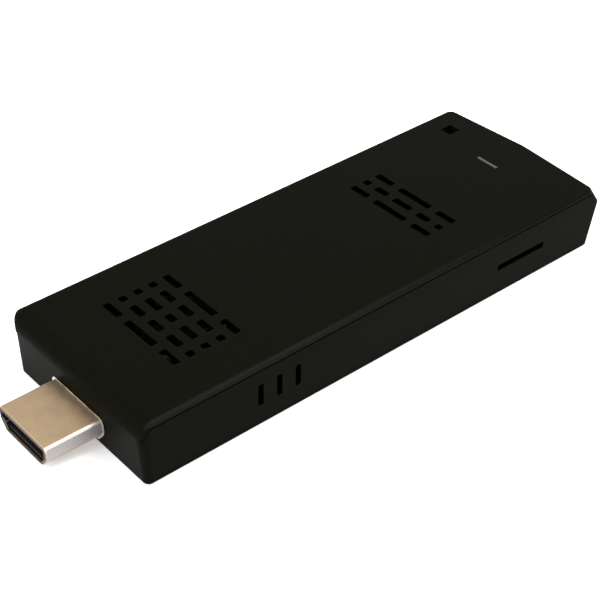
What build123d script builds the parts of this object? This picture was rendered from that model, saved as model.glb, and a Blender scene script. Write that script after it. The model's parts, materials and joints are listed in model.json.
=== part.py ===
from build123d import *
import os

# A stick computer that plugs straight into a display: a flat black case in two shells, a video plug
# at its near end, a small blower under the near grille, and a board with its ports inside.
# Millimetres. The origin is the middle of the case's flat underside. +Z is up, -X is where the plug
# points, -Y is the side with the memory card slot, and +Y the side with the sockets and the button.

# Case. Its length, width and height follow from what it holds, in the section on places
wall = 1.3
floor_wall = 1.2
lid_wall = 1.1
far_room = 5.8
room_across = 3.0
port_head_room = 1.325
end_seam_drop = 3.35
point_depth = 1.2
near_setback = 0.15
near_lean = 0.5
far_lean = 1.95
far_slope = 1.9
far_backing = 0.6
side_lean = 0.25
near_corner_radius = 1.9
near_foot_radius = 1.1
far_corner_radius = 0.7
far_top_corner_radius = 1.6
inner_corner_radius = 0.3
point_radius = 7.0
near_roll_radius = 3.0
top_edge_radius = 0.6
bottom_edge_radius = 0.5
seam_gap = 0.22
seam_depth = 0.45
near_seam_flat = 0.1
near_seam_rise = 1.9
far_seam_flat = 1.7
far_seam_rise = 1.6
pattern_y = 0.2

# Grilles in the lid, each column given as shares of the grille's height taken by slot, bar, slot ...
grille_height = 20.2
slot_width = 1.4
slot_corner = 0.3
column_pitch = 3.03
near_grille_start = 13.4
far_grille_past_storage = 0.6
outer_column_shares = (0.21, 0.095, 0.39, 0.095, 0.21)
inner_column_shares = (0.07, 0.093, 0.165, 0.0915, 0.161, 0.0915, 0.165, 0.093, 0.07)
middle_column_shares = (0.07, 0.095, 0.186, 0.095, 0.108, 0.095, 0.186, 0.095, 0.07)
far_column_shares = (0.07, 0.087, 0.148, 0.087, 0.216, 0.087, 0.148, 0.087, 0.07)

# Vents in both long sides
vent_count = 3
vent_past_fan = 3.54
vent_pitch = 3.85
vent_width = 1.1
vent_bottom = 4.3
vent_top = 8.6

# Lanyard hole through the far corner
lanyard_hole = 2.6
lanyard_past_board = 0.7
lanyard_from_side = 5.6
lanyard_wall = 0.8

# Snap hooks of the lid and their catches in the case
hook_length = 4.0
hook_thickness = 0.7
hook_reach = 0.45
hook_height = 0.65
hook_drop = 2.8
hook_clearance = 0.1
card_side_hook_shares = (0.155, 0.425, 0.628)
port_side_hook_shares = (0.155, 0.362, 0.879)
tab_length = 8.0
tab_drop = 1.3
tab_plug_gap = 0.6

# Video plug
plug_y = -0.1
plug_width = 13.9
plug_height = 4.45
plug_top = 6.0
plug_reach = 10.15
plug_depth = 4.4
plug_sheet = 0.3
plug_side_share = 0.53
plug_foot_share = 0.76
plug_corner = 0.75
plug_tip_radius = 0.45
plug_lip = 0.25
plug_foot_corner = 0.9
collar_rim = 0.45
collar_setback = 0.25
collar_depth = 1.2
plug_slot_width = 12.0
plug_slot_height = 1.9
plug_core_setback = 0.6
plug_slot_back = 2.0
plug_contact_pitch = 1.0
plug_contact_width = 0.45
plug_contact_thickness = 0.2
plug_contact_setback = 1.1
plug_top_contacts = 10
plug_bottom_contacts = 9
plug_leg_length = 3.0
plug_leg_height = 1.0
plug_tail = 2.0
fit_gap = 0.05

# Main board
board_thickness = 1.0
board_start = 4.6
board_past_coax = 3.5
board_side_gap = 0.5
boss_radius = 1.9
screw_radius = 0.75
screw_head_radius = 1.4
screw_head_height = 0.7
screw_slot_share = 1.2
screw_slot_width_share = 0.25
screw_edge_share = 0.33
screw_depth = 1.4
screw_hole_gap = 0.15
far_screw_slot_gap = 3.4
far_screw_inset = 3.4

# Processor, memory and the plate that spreads their heat
processor_size = 17.0
processor_height = 1.1
processor_from_near = 36.0
processor_y = -4.0
pad_thickness = 0.4
pad_margin = 1.5
memory_length = 11.0
memory_width = 8.0
memory_height = 1.0
memory_processor_gap = 4.0
memory_gap = 1.0
spreader_thickness = 0.6
spreader_start = 7.5
spreader_end = 60.0
spreader_side_gap = 1.2
spreader_port_gap = 0.9
spreader_screw_margin = 3.4
spreader_screw_inset = 2.65
spreader_screw_gap = 0.9
spreader_lip_height = 1.2
spreader_window_gap = 0.4
bush_radius = 1.6
storage_length = 11.5
storage_width = 13.0
storage_height = 1.0
storage_memory_gap = 1.75
storage_y = -6.0

# Blower
fan_size = 22.0
fan_base = 0.5
fan_lid_thickness = 0.4
fan_wall = 1.0
fan_corner = 1.2
fan_intake_share = 0.336
fan_gasket_height = 0.6
gasket_width = 1.6
rotor_gap = 0.35
hub_radius = 4.6
hub_wall = 0.4
hub_roof = 0.5
blade_count = 19
blade_gap = 0.4
blade_thickness = 0.45
blade_lean = 24.0
shaft_radius = 0.5
shaft_gap = 0.03
bearing_wall = 0.65
circuit_thickness = 0.2
circuit_radius = 3.6
magnet_wall = 0.75
stator_radius = 3.05
stator_poles = 4
pole_width = 1.0
pole_waist_share = 0.5
coil_wall = 0.35
fan_screw_radius = 0.5
fan_screw_head = 0.95
fan_screw_head_height = 0.35
fan_screw_margin = 1.5
header_length = 4.2
header_width = 3.0
header_height = 1.6
header_slot_share = 0.7
header_floor_share = 0.33
header_back_share = 0.25
lead_radius = 0.28
lead_pitch = 0.8
lead_bend_share = 0.45
header_gap = 3.0

# Sockets on the +Y side
port_set_in = 0.3
port_gap = 0.15
port_sheet = 0.3
usb_memory_offset = 4.0
usb_width = 13.1
usb_height = 5.7
usb_depth = 14.0
usb_lift = 0.1
usb_tongue_side = 1.0
usb_tongue_height = 1.84
usb_tongue_reach = 8.8
usb_contact_width = 1.0
usb_contact_thickness = 0.2
usb_contact_spread_shares = (-0.5, -0.143, 0.143, 0.5)
usb_contact_spread_share = 0.63
usb_contact_setback = 1.9
usb_tongue_setback = 1.3
power_usb_gap = 6.2
power_width = 7.5
power_height = 2.5
power_depth = 5.4
power_sheet = 0.25
power_tongue_width = 3.5
power_tongue_height = 0.6
power_tongue_reach = 3.7
power_back_depth = 1.35
power_contact_setback = 0.3
power_contacts = 5
power_contact_pitch = 0.65
power_contact_width = 0.3
power_contact_thickness = 0.12

# Button and its switch on the +Y side
button_power_gap = 6.55
button_width = 6.4
button_height = 1.9
button_lift = 1.425
button_proud = 0.35
button_gap = 0.15
button_rest_gap = 0.1
button_rim = 0.7
button_rim_drop = 0.3
button_rim_thickness = 0.6
button_travel = 0.25
button_corner = 0.6
plunger_width = 1.6
plunger_height = 0.8
plunger_reach = 0.7
plunger_depth = 0.9
switch_width = 4.6
switch_depth = 2.6
switch_height = 2.0
switch_slide_gap = 0.1

# Memory card socket on the -Y side
card_slot_storage_gap = 3.65
card_slot_length = 11.6
card_slot_lift = 1.075
card_slot_height = 1.25
card_slot_corner = 0.3
socket_side_wall = 1.2
socket_far_wall = 1.56
socket_depth = 15.6
socket_floor_drop = 0.1
socket_lid_thickness = 0.2
socket_rear_wall = 0.7
slider_width = 1.0
slider_height = 0.9
slider_length = 7.6
slider_gap = 0.1
slider_foot_length = 0.6
slider_foot_reach = 1.6
spring_length = 3.2
spring_radius = 0.35
spring_wire = 0.07
spring_turns = 6
card_contact_count = 8
card_contact_pitch = 1.1
card_contact_width = 0.6
card_contact_length = 3.6
card_contact_thickness = 0.12

# Radio module, antennas and their leads
radio_size = 12.5
radio_board_thickness = 0.6
radio_chip_size = 5.0
radio_chip_height = 0.8
shield_height = 1.3
shield_sheet = 0.15
shield_margin = 0.5
carrier_board_gap = 1.2
carrier_depth = 2.2
carrier_height = 6.6
carrier_span_shares = ((-0.8, -0.286), (0.183, 0.549))
antenna_sheet = 0.2
antenna_drop = 3.0
antenna_gap_share = 0.75
antenna_gap_start_share = 0.33
antenna_gap_end_share = 0.5
coax_radius = 0.4
coax_bend = 0.8
coax_lane_setback = 0.5
coax_plug_radius = 1.1
coax_plug_height = 1.0
coax_plug_edge = 0.25
coax_slot_gap = 2.9
coax_plug_pitch = 3.8
coax_plug_offset = 0.55

# Dust mesh glued under the far grille
mesh_thickness = 0.15
mesh_margin = 1.2

# Light on the lid
light_board_setback = 2.2
light_length = 4.9
light_width = 0.6
light_flange_margin = 0.5
light_flange_thickness = 0.5
light_stem_length = 2.4
light_gap = 0.3
lamp_length = 1.6
lamp_width = 0.8
lamp_height = 0.6

# Small parts on the board. Places are shares of the board's length and of half its width
power_chip_size = 5.0
power_chip_height = 0.9
power_chip_shares = (0.6615, 0.43)
firmware_chip_length = 5.0
firmware_chip_width = 4.0
firmware_chip_height = 0.9
firmware_chip_shares = (0.205, -0.48)
inductor_size = 3.0
inductor_height = 1.2
inductor_shares = ((0.734, 0.56), (0.734, 0.31), (0.637, 0.155))
crystal_length = 3.2
crystal_width = 2.5
crystal_height = 0.7
crystal_shares = ((0.205, 0.15), (0.762, 0.12))
capacitor_length = 1.6
capacitor_width = 0.8
capacitor_height = 0.7
capacitor_row_shares = ((0.216, -0.78, 5), (0.461, 0.36, 4), (0.661, -0.18, 5))
capacitor_pitch = 2.4
resistor_length = 1.0
resistor_width = 0.5
resistor_height = 0.35
resistor_row_shares = ((0.216, 0.57, 6), (0.216, 0.69, 4), (0.751, -0.48, 2))
resistor_pitch = 1.7

# Cutting tools run past what they cut by this much
overrun = 2.0

# Places along the length, measured from the near end: what lies on the board follows its neighbour
memory_from_near = processor_from_near + (processor_size + memory_length) / 2 + memory_processor_gap
storage_from_near = memory_from_near + (memory_length + storage_length) / 2 + storage_memory_gap
far_grille_start = storage_from_near + far_grille_past_storage
card_slot_start = storage_from_near + storage_length / 2 + card_slot_storage_gap
card_slot_end = card_slot_start + card_slot_length
card_slot_middle = (card_slot_start + card_slot_end) / 2
far_screw_from_near = card_slot_start - far_screw_slot_gap
usb_from_near = memory_from_near - usb_memory_offset
power_from_near = usb_from_near + (usb_width + power_width) / 2 + power_usb_gap
button_from_near = power_from_near + (power_width + button_width) / 2 + button_power_gap
coax_from_near = card_slot_end + coax_slot_gap
board_end = coax_from_near + board_past_coax
light_from_near = board_end - light_board_setback
lanyard_from_near = board_end + lanyard_past_board
carrier_start = board_end + carrier_board_gap
body_length = carrier_start + carrier_depth + far_room

# Places across the width and up the height
row_across = socket_depth + radio_size + switch_depth + plunger_reach + button_rim_thickness
body_width = row_across + room_across + 2 * wall
plug_middle = plug_top - plug_height / 2
board_bottom = plug_middle - board_thickness / 2
board_top = plug_middle + board_thickness / 2
body_height = board_top + usb_lift + usb_height + port_head_room + lid_wall
near_x = -body_length / 2
end_seam_height = body_height - end_seam_drop
side_seam_height = body_height - lid_wall
half_width = body_width / 2
lanyard_y = half_width - lanyard_from_side
inner_y = half_width - wall
roof = side_seam_height
board_side = inner_y - side_lean - board_side_gap
radio_y = -inner_y + socket_depth + (room_across + radio_size) / 2
button_center_height = board_top + button_lift
card_slot_bottom = board_top + card_slot_lift
card_slot_top = card_slot_bottom + card_slot_height
spreader_bottom = board_top + processor_height + pad_thickness
spreader_top = spreader_bottom + spreader_thickness
fan_x = near_x + near_grille_start + 2 * column_pitch
fan_lid_top = roof - fan_gasket_height
fan_lid_bottom = fan_lid_top - fan_lid_thickness
fan_floor = spreader_top + fan_base
fan_cavity_radius = fan_size / 2 - fan_wall
fan_intake_radius = fan_size * fan_intake_share
blade_length = fan_cavity_radius - hub_radius - blade_gap
port_front = half_width - port_set_in
usb_bottom = board_top + usb_lift
usb_tongue_width = usb_width - 2 * usb_tongue_side
screw_tip = board_bottom - screw_depth
socket_front = -(inner_y - side_lean * (1 - board_top / end_seam_height)) + fit_gap
socket_back = socket_front + socket_depth
slider_center = near_x + card_slot_end + socket_side_wall / 2
slider_rest = socket_back - socket_rear_wall - spring_length


def block(x0, x1, y0, y1, z0, z1):
    """A box from one corner to the opposite one."""
    middle = Pos((x0 + x1) / 2, (y0 + y1) / 2, (z0 + z1) / 2)
    return middle * Box(abs(x1 - x0), abs(y1 - y0), abs(z1 - z0))


def chip(x, y, z, length, width, height):
    """A box standing on height z, centred on x and y."""
    return block(x - length / 2, x + length / 2, y - width / 2, y + width / 2, z, z + height)


def rounded(shape, axis, radius):
    """The shape with its edges along one axis rounded."""
    return fillet(shape.edges().filter_by(axis), radius)


def post(x, y, z0, z1, radius):
    """An upright round post."""
    return Pos(x, y, (z0 + z1) / 2) * Cylinder(radius, z1 - z0)


def pipe(x, y, z0, z1, outer, inner):
    """An upright tube."""
    return post(x, y, z0, z1, outer) - post(x, y, z0 - overrun, z1 + overrun, inner)


def group(pieces):
    """Separate solids that share one node."""
    return Compound(children=list(pieces))


def at(distance):
    """The x of a place given by its distance from the near end."""
    return near_x + distance


def share_place(x_share, y_share):
    """A place on the board, given by shares of its length and of half its width."""
    return at(board_start + x_share * (board_end - board_start)), y_share * board_side


def plan_outline(
    z, inset, near_in, far_in, side_in, near_radius=near_corner_radius, far_radius=far_corner_radius,
):
    """The case's outline at height z: square near end, blunt pointed far end."""
    near = near_x + near_in + inset
    far = near_x + body_length - far_in - inset
    side = half_width - side_in - inset
    corner = far - point_depth * side / half_width
    points = ((near, -side), (corner, -side), (far, 0), (corner, side), (near, side))
    face = make_face(Polyline(*points, close=True))
    face = fillet(face.vertices().group_by(Axis.X)[0], max(near_radius - inset, inner_corner_radius))
    far_corners = [v for v in face.vertices() if abs(v.X - corner) < fit_gap and abs(v.Y) > side - fit_gap]
    face = fillet(far_corners, max(far_radius - inset, inner_corner_radius))
    face = fillet(face.vertices().sort_by(Axis.X)[-1], point_radius)
    return Pos(0, 0, z) * face


def case_form(inset, bottom, top):
    """The case's outer form, or the same form drawn in by a wall, which is thicker at the far end."""
    leaning = (end_seam_height - bottom) / end_seam_height
    sloping = (top - end_seam_height) / (body_height - end_seam_height)
    near_in = near_setback + (near_lean - near_setback) * leaning
    side_in = side_lean * leaning
    far_in = far_backing * inset
    low_far_in = far_in + far_lean * leaning
    low = plan_outline(bottom, inset, near_in, low_far_in, side_in, near_radius=near_foot_radius)
    below = plan_outline(end_seam_height, inset, near_setback, far_in, 0)
    middle = plan_outline(end_seam_height, inset, 0, far_in, 0)
    high = plan_outline(top, inset, 0, far_slope * sloping, 0, far_radius=far_top_corner_radius)
    lower = loft([low, below], ruled=True)
    upper = loft([middle, high], ruled=True)
    if inset == 0:
        lower = fillet(lower.faces().sort_by(Axis.Z)[0].outer_wire().edges(), bottom_edge_radius)
        upper = fillet(upper.faces().sort_by(Axis.Z)[-1].outer_wire().edges(), top_edge_radius)
    roll = near_roll_radius - inset
    roll_x = near_x + near_roll_radius
    roll_z = body_height - near_roll_radius
    corner = block(near_x - overrun, roll_x, -half_width, half_width, roll_z, body_height + overrun)
    round_end = Pos(roll_x, 0, roll_z) * Rot(90, 0, 0) * Cylinder(roll, body_width + overrun)
    return lower + (upper - (corner - round_end))


def above_seam(shift):
    """Everything above the seam line, moved up by shift."""
    low = end_seam_height + shift
    high = side_seam_height + shift
    near_flat = near_x + near_seam_flat
    near_top = near_flat + near_seam_rise
    far_flat = near_x + body_length - far_seam_flat
    far_top = far_flat - far_seam_rise
    out = body_length / 2 + overrun
    sky = body_height + overrun
    lines = [
        Line((-out, low), (near_flat, low)),
        seam_curve(near_flat, low, near_top, high),
        Line((near_top, high), (far_top, high)),
        seam_curve(far_top, high, far_flat, low),
        Polyline((far_flat, low), (out, low), (out, sky), (-out, sky), (-out, low)),
    ]
    return extrude(Plane.XZ * make_face(lines), amount=half_width + overrun, both=True)


def seam_curve(x0, z0, x1, z1):
    """The S-shaped rise of the seam near an end."""
    middle = (x0 + x1) / 2
    return Bezier((x0, z0), (middle, z0), (middle, z1), (x1, z1))


def seam_groove():
    """The dark line between the shells: a shallow groove along the seam."""
    band = above_seam(-seam_gap / 2) - above_seam(seam_gap / 2)
    return band - case_form(seam_depth, floor_wall, body_height - seam_depth)


def slot_column(x, shares):
    """One column of grille slots, at every other share of the grille's height."""
    y = pattern_y + grille_height / 2
    slots = []
    for place, share in enumerate(shares):
        step = grille_height * share
        if place % 2 == 0:
            middle = (roof + body_height) / 2
            slot = chip(x, y - step / 2, middle - overrun, slot_width, step, 2 * overrun)
            slots.append(rounded(slot, Axis.Z, slot_corner))
        y = y - step
    return slots


def grille_slots():
    """Both grilles: five columns at the near end and three at the far end."""
    near_columns = (
        outer_column_shares,
        inner_column_shares,
        middle_column_shares,
        inner_column_shares,
        outer_column_shares,
    )
    far_columns = (outer_column_shares, far_column_shares, outer_column_shares)
    slots = []
    for start, columns in ((near_grille_start, near_columns), (far_grille_start, far_columns)):
        for place, shares in enumerate(columns):
            slots += slot_column(at(start + place * column_pitch), shares)
    return slots


def lanyard_opening():
    """The square hole right through the far corner."""
    x = at(lanyard_from_near)
    half = lanyard_hole / 2
    return block(x - half, x + half, lanyard_y - half, lanyard_y + half, -overrun, body_height + overrun)


def inner_at(z):
    """How far the inside of a long wall is from the middle at height z, below the end seam."""
    return inner_y - side_lean * (end_seam_height - z) / end_seam_height


def hook_places():
    """Where the lid's hooks are: x and the side they are on."""
    card_side = [(at(share * body_length), -1) for share in card_side_hook_shares]
    port_side = [(at(share * body_length), 1) for share in port_side_hook_shares]
    return card_side + port_side


def hook(x, side):
    """One snap hook of the lid: a thin leg with a barb that faces the wall."""
    outer = inner_y - hook_clearance
    back = outer - hook_reach - hook_thickness
    low = roof - hook_drop
    half = hook_length / 2
    leg = block(x - half, x + half, side * back, side * (back + hook_thickness), low, roof + fit_gap)
    barb = block(x - half, x + half, side * back, side * outer, low, low + hook_height)
    return leg + barb


def catch(x, side):
    """The ledge in the case that a hook snaps under."""
    low = roof - hook_drop + hook_height + fit_gap
    half = hook_length / 2 + hook_reach
    inside = inner_y - hook_reach
    return block(x - half, x + half, side * inside, side * (inner_y + wall / 2), low, low + hook_height)


def near_tab(side):
    """A tab at the lid's near end that stands behind the case's rounded end wall."""
    y0 = plug_y + side * (plug_width / 2 + collar_rim + tab_plug_gap)
    y1 = y0 + side * tab_length
    x0 = near_x + near_roll_radius + hook_clearance
    return block(x0, x0 + hook_thickness, y0, y1, end_seam_height - tab_drop, roof + fit_gap)


def top_cover(shell, above, groove):
    """The lid, with its grilles, light window, lanyard hole, hooks and tabs."""
    lid = shell & above
    lid -= groove
    lid -= grille_slots()
    lid -= lanyard_opening()
    x = at(light_from_near)
    window = block(
        x - light_width / 2, x + light_width / 2,
        pattern_y - light_length / 2, pattern_y + light_length / 2,
        roof - overrun, body_height + overrun,
    )
    lid -= window
    for x, side in hook_places():
        lid += hook(x, side)
    for side in (-1, 1):
        lid += near_tab(side)
    return lid


def side_opening(distance, width, z0, z1, side, radius):
    """A rounded opening through one long side wall."""
    x = at(distance)
    inside = side * (inner_y - side_lean - overrun)
    cut = block(x - width / 2, x + width / 2, inside, side * (half_width + overrun), z0, z1)
    return rounded(cut, Axis.Y, radius)


def port_opening(distance, width, z0, height):
    """The opening round a socket in the +Y side."""
    return side_opening(distance, width + 2 * port_gap, z0 - port_gap, z0 + height + port_gap, 1, slot_corner)


def board_screw_places():
    """The two screws that hold the far end of the board."""
    y = -(inner_y - far_screw_inset)
    return ((at(board_end - boss_radius), y), (at(far_screw_from_near), y))


def spreader_side():
    """Half the heat spreader's width."""
    return inner_y - side_lean - spreader_side_gap


def spreader_screw_places():
    """The four screws through the heat spreader."""
    y = spreader_side() - spreader_screw_inset
    near_y = fan_size / 2 + screw_head_radius + spreader_screw_gap
    near = at(spreader_start + spreader_screw_margin)
    middle = at(usb_from_near - usb_width / 2 - spreader_screw_margin * 2)
    far = at(memory_from_near - memory_length / 2 - spreader_screw_inset)
    return ((near, pattern_y + near_y), (near, pattern_y - near_y), (middle, y), (far, -y))


def bottom_case(shell, above, groove):
    """The lower shell, with its vents, port openings, bosses, catches and lanyard tube."""
    case = shell - above
    case -= groove
    x = at(lanyard_from_near)
    half = lanyard_hole / 2 + lanyard_wall
    case += block(x - half, x + half, lanyard_y - half, lanyard_y + half, floor_wall / 2, roof)
    case -= lanyard_opening()
    for x, side in hook_places():
        case += catch(x, side)
    for x, y in spreader_screw_places() + board_screw_places():
        case += post(x, y, floor_wall / 2, board_bottom, boss_radius)
        case -= post(x, y, screw_tip, board_bottom + fit_gap, screw_radius + fit_gap / 2)
    for place in range(vent_count):
        for side in (-1, 1):
            x = fan_x - near_x + vent_past_fan + place * vent_pitch
            case -= side_opening(x, vent_width, vent_bottom, vent_top, side, slot_corner)
    low = card_slot_bottom
    case -= side_opening(card_slot_middle, card_slot_length, low, card_slot_top, -1, card_slot_corner)
    case -= port_opening(usb_from_near, usb_width, usb_bottom, usb_height)
    case -= port_opening(power_from_near, power_width, board_top, power_height)
    reach = button_height / 2 + button_gap
    low = button_center_height - reach
    high = button_center_height + reach
    case -= side_opening(button_from_near, button_width + 2 * button_gap, low, high, 1, button_corner)
    hole = plug_prism(collar_rim + fit_gap, near_x - overrun, near_x + wall + near_lean + overrun)
    return case - hole


def plug_profile(grow):
    """The plug's cross-section in y and z about its middle: wide on top, tapered below."""
    half = plug_width / 2
    foot = half * plug_foot_share
    top = plug_height / 2
    knee = top - plug_height * plug_side_share
    points = ((-half, top), (half, top), (half, knee), (foot, -top), (-foot, -top), (-half, knee))
    face = make_face(Polyline(*points, close=True))
    upper = [v for v in face.vertices() if v.Y > 0]
    face = fillet(upper, plug_corner)
    lower = [v for v in face.vertices() if v.Y < knee + fit_gap]
    face = fillet(lower, plug_foot_corner)
    if grow:
        face = offset(face, amount=grow)
    return face


def plug_prism(grow, x0, x1):
    """The plug's section, grown or shrunk, run along X."""
    section = Plane.YZ.offset(x0) * (Pos(plug_y, plug_middle) * plug_profile(grow))
    return extrude(section, amount=x1 - x0)


def plug_shell():
    """The folded metal shell of the plug, its mouth curled in, with two legs on the board."""
    front = near_x - plug_reach
    back = near_x + plug_depth
    shell = plug_prism(0, front, back)
    shell = fillet(shell.faces().sort_by(Axis.X)[0].outer_wire().edges(), plug_tip_radius)
    inside = plug_prism(-plug_sheet, front + plug_sheet, back + overrun)
    inside = fillet(inside.faces().sort_by(Axis.X)[0].outer_wire().edges(), plug_tip_radius - plug_sheet)
    shell -= inside
    shell -= plug_prism(-plug_sheet - plug_lip, front - overrun, front + plug_tip_radius + plug_sheet)
    for side in (-1, 1):
        outer = plug_y + side * plug_width / 2
        inner = outer - side * plug_sheet
        z = board_top
        shell += block(back - plug_sheet, back + plug_leg_length, inner, outer, z, z + plug_leg_height)
    return shell


def plug_collar():
    """The metal ring round the plug's root, held in the case's end wall."""
    front = near_x + collar_setback
    back = near_x + near_lean + collar_depth
    return plug_prism(collar_rim, front, back) - plug_prism(fit_gap / 2, front - overrun, back + overrun)


def plug_contacts():
    """Two rows of contact strips that grip the board's edge behind the plug."""
    front = near_x - plug_reach + plug_contact_setback
    back = at(board_start) + plug_tail
    half = plug_contact_width / 2
    strips = []
    rows = ((plug_top_contacts, board_top), (plug_bottom_contacts, board_bottom - plug_contact_thickness))
    for count, z in rows:
        for place in range(count):
            y = plug_y + (place - (count - 1) / 2) * plug_contact_pitch
            strips.append(block(front, back, y - half, y + half, z, z + plug_contact_thickness))
    return strips


def plug_core(contacts):
    """The plastic inside the plug, slotted for the display's tongue."""
    front = near_x - plug_reach + plug_core_setback
    back = near_x + plug_depth - fit_gap
    core = plug_prism(-plug_sheet - fit_gap / 2, front, back)
    slot = block(
        front - overrun, near_x - plug_slot_back,
        plug_y - plug_slot_width / 2, plug_y + plug_slot_width / 2,
        plug_middle - plug_slot_height / 2, plug_middle + plug_slot_height / 2,
    )
    return core - slot - contacts


def main_board():
    """The board, cut away round the lanyard tube and drilled for its screws."""
    board = block(at(board_start), at(board_end), -board_side, board_side, board_bottom, board_top)
    half = lanyard_hole / 2 + lanyard_wall + board_side_gap
    x = at(lanyard_from_near)
    low = board_bottom - overrun
    high = board_top + overrun
    board -= block(x - half, x + half, lanyard_y - half, half_width, low, high)
    near = board.edges().filter_by(Axis.Z).group_by(Axis.X)[0]
    board = fillet(near, boss_radius)
    for x, y in spreader_screw_places() + board_screw_places():
        board -= post(x, y, low, high, screw_radius + screw_hole_gap)
    return board


def screw(x, y, seat, tip):
    """A small screw: a low head with a cross slot on a plain shank."""
    head = post(x, y, seat, seat + screw_head_height, screw_head_radius)
    head = chamfer(head.edges().group_by(Axis.Z)[-1], screw_head_height * screw_edge_share)
    slot_z = seat + screw_head_height / 2
    long = screw_head_radius * screw_slot_share
    thin = screw_head_radius * screw_slot_width_share
    head -= chip(x, y, slot_z, long, thin, screw_head_height)
    head -= chip(x, y, slot_z, thin, long, screw_head_height)
    return head + post(x, y, tip, seat, screw_radius)


def memory_places():
    """The middles of the two memory chips on each face of the board."""
    x = at(memory_from_near)
    step = (memory_width + memory_gap) / 2
    y = processor_y - memory_gap * 2
    return ((x, y - step), (x, y + step))


def heat_spreader():
    """The plate over the hot chips, cut away beside the sockets, with one turned-up edge."""
    side = spreader_side()
    x0 = at(spreader_start)
    x1 = at(spreader_end)
    low = spreader_bottom - overrun
    high = spreader_top + overrun
    plate = block(x0, x1, -side, side, spreader_bottom, spreader_top)
    port_x = at(usb_from_near - usb_width / 2) - spreader_port_gap
    port_y = port_front - usb_depth - spreader_port_gap
    plate -= block(port_x, x1 + overrun, port_y, side + overrun, low, high)
    lip_top = spreader_top + spreader_lip_height
    plate += block(x1 - spreader_thickness, x1, -side, port_y, spreader_bottom, lip_top)
    x, y = header_place()
    half = header_length / 2 + spreader_window_gap
    window_end = x + header_width / 2 + spreader_window_gap
    window_start = fan_x + fan_size / 2 + spreader_window_gap / 2
    window = block(window_start, window_end, y - half, y + half, low, high)
    plate -= rounded(window, Axis.Z, spreader_window_gap)
    for x, y in spreader_screw_places():
        plate -= post(x, y, low, high, screw_radius + screw_hole_gap)
    for x, y in fan_screw_places():
        plate -= post(x, y, low, high, fan_screw_radius + fit_gap / 2)
    return plate


def thermal_pads():
    """Soft pads between the chips and the plate."""
    size = processor_size - 2 * pad_margin
    low = board_top + processor_height
    pads = [chip(at(processor_from_near), processor_y, low, size, size, pad_thickness)]
    low = board_top + memory_height
    length = memory_length - 2 * pad_margin
    width = memory_width - 2 * pad_margin
    for x, y in memory_places():
        pads.append(chip(x, y, low, length, width, spreader_bottom - low))
    return pads


def memory_chips():
    """Two chips on top of the board and two right under them."""
    chips = []
    for x, y in memory_places():
        chips.append(chip(x, y, board_top, memory_length, memory_width, memory_height))
        chips.append(chip(x, y, board_bottom - memory_height, memory_length, memory_width, memory_height))
    return chips


def fan_screw_places():
    """Three corners of the blower that are screwed down."""
    step = fan_size / 2 - fan_screw_margin
    corners = ((-1, -1), (-1, 1), (1, 1))
    return [(fan_x + sx * step, pattern_y + sy * step) for sx, sy in corners]


def fan_block(z0, z1):
    """The blower's square body between two heights, with rounded corners."""
    half = fan_size / 2
    body = block(fan_x - half, fan_x + half, pattern_y - half, pattern_y + half, z0, z1)
    return rounded(body, Axis.Z, fan_corner)


def fan_screw_holes():
    """The holes for the blower's screws."""
    radius = fan_screw_radius + fit_gap / 2
    return [post(x, y, spreader_top - overrun, roof, radius) for x, y in fan_screw_places()]


def fan_housing():
    """The blower's tray: a round chamber that opens to the vented side."""
    tray = fan_block(spreader_top, fan_lid_bottom)
    tray -= post(fan_x, pattern_y, fan_floor, roof, fan_cavity_radius)
    outlet_y = pattern_y - fan_size / 2
    tray -= block(fan_x, fan_x + fan_cavity_radius, outlet_y - overrun, pattern_y, fan_floor, roof)
    return tray - fan_screw_holes()


def fan_lid():
    """The plate over the blower, with its round intake."""
    plate = fan_block(fan_lid_bottom, fan_lid_top)
    plate -= post(fan_x, pattern_y, fan_lid_bottom - overrun, roof + overrun, fan_intake_radius)
    return plate - fan_screw_holes()


def fan_impeller():
    """A cup-shaped hub with leaning blades round it, and a blind hole for the shaft."""
    top = fan_lid_bottom - rotor_gap
    blade_bottom = fan_floor + rotor_gap
    hub = post(fan_x, pattern_y, blade_bottom, top, hub_radius)
    hub = fillet(hub.edges().group_by(Axis.Z)[-1], hub_wall / 2)
    start = hub_radius - hub_wall / 2
    height = top - blade_bottom - hub_wall
    blade = Pos(blade_length / 2, 0, blade_bottom + height / 2) * Box(blade_length, blade_thickness, height)
    for place in range(blade_count):
        turn = 360 * place / blade_count
        hub += Pos(fan_x, pattern_y, 0) * Rot(0, 0, turn) * Pos(start, 0, 0) * Rot(0, 0, blade_lean) * blade
    hub -= post(fan_x, pattern_y, blade_bottom - overrun, top - hub_roof, hub_radius - hub_wall)
    return hub - post(fan_x, pattern_y, blade_bottom, top - hub_roof / 2, shaft_radius + fit_gap / 2)


def fan_magnet():
    """The ring magnet glued inside the hub."""
    top = fan_lid_bottom - rotor_gap - hub_roof
    outer = hub_radius - hub_wall - fit_gap / 2
    bottom = fan_floor + circuit_thickness + rotor_gap
    return pipe(fan_x, pattern_y, bottom, top, outer, outer - magnet_wall)


def fan_shaft():
    """The shaft, fixed in the hub and turning in the bearing."""
    top = fan_lid_bottom - rotor_gap - hub_roof / 2
    return post(fan_x, pattern_y, fan_floor + shaft_gap, top, shaft_radius)


def fan_bearing():
    """The plain sleeve that the shaft turns in, standing in the tray."""
    inner = shaft_radius + shaft_gap
    top = fan_lid_bottom - rotor_gap - hub_roof - rotor_gap
    return pipe(fan_x, pattern_y, fan_floor, top, inner + bearing_wall, inner)


def fan_circuit():
    """The round driver board under the coils."""
    inner = shaft_radius + shaft_gap + bearing_wall + fit_gap / 2
    return pipe(fan_x, pattern_y, fan_floor, fan_floor + circuit_thickness, circuit_radius, inner)


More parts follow.
